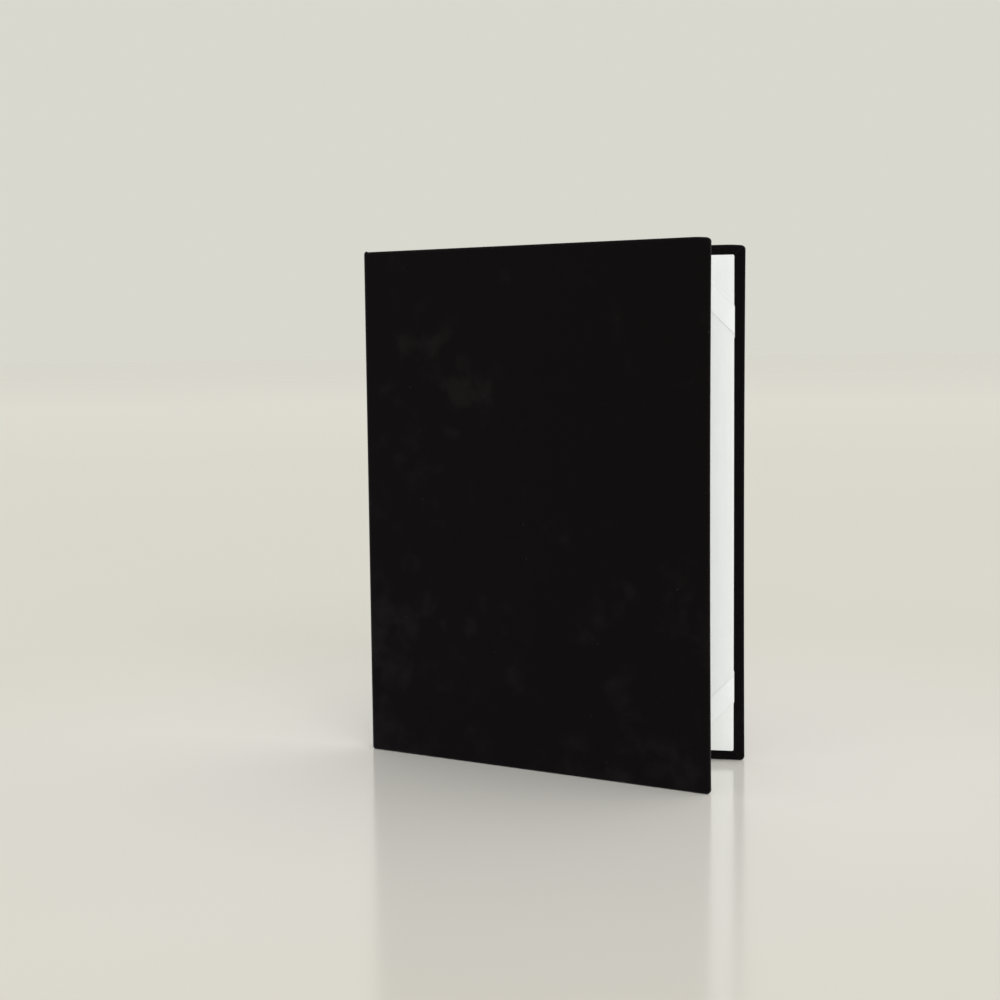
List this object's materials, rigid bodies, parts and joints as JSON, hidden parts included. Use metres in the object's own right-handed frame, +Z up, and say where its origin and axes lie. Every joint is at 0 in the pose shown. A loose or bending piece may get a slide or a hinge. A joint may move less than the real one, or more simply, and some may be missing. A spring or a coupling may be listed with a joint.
{
  "type": "certificate folder",
  "caption": "Velvet-covered hard folder for an A4 certificate, standing part open on its foot, with a white satin panel and corner ribbons inside the back cover.",
  "frame": {"origin": "centre of the standing folder's box, on the surface that it stands on", "axes": "+X from the spine to the fore-edges, midway between the covers; +Y from the front cover to the back cover; +Z up along the spine"},
  "size_m": [0.2272, 0.086, 0.31],
  "materials": {
    "velvet": "matte",
    "satin": "satin",
    "ribbon": "satin",
    "greyboard": "matte"
  },
  "bodies": {
    "back_cover": {"back_cover_cloth": "velvet", "back_board": "greyboard", "back_joint_lining": "velvet", "back_filler_card": "greyboard", "back_panel_card": "greyboard", "back_panel_satin": "satin", "ribbon_top_fore": "ribbon", "ribbon_bottom_fore": "ribbon", "ribbon_top_spine": "ribbon", "ribbon_bottom_spine": "ribbon"},
    "spine": {"spine_cloth": "velvet", "spine_card": "greyboard", "spine_lining": "velvet", "front_hinge_cloth": "velvet", "front_hinge_lining": "velvet", "back_hinge_cloth": "velvet", "back_hinge_lining": "velvet"},
    "front_cover": {"front_cover_cloth": "velvet", "front_board": "greyboard", "front_joint_lining": "velvet", "front_filler_card": "greyboard", "front_panel_card": "greyboard", "front_panel_satin": "satin"}
  },
  "joints": [
    {"name": "back_hinge", "type": "hinge", "parent": "back_cover", "child": "spine", "pos_m": [-0.1125, 0.00536, 0.155], "axis": [0, 0, -1], "range_deg": [-9.25, 80.75], "deforming": ["back_hinge_cloth", "back_hinge_lining"]},
    {"name": "front_hinge", "type": "hinge", "parent": "spine", "child": "front_cover", "pos_m": [-0.1125, -0.00536, 0.155], "axis": [0, 0, -1], "range_deg": [-9.25, 80.75], "deforming": ["front_hinge_cloth", "front_hinge_lining"]}
  ]
}
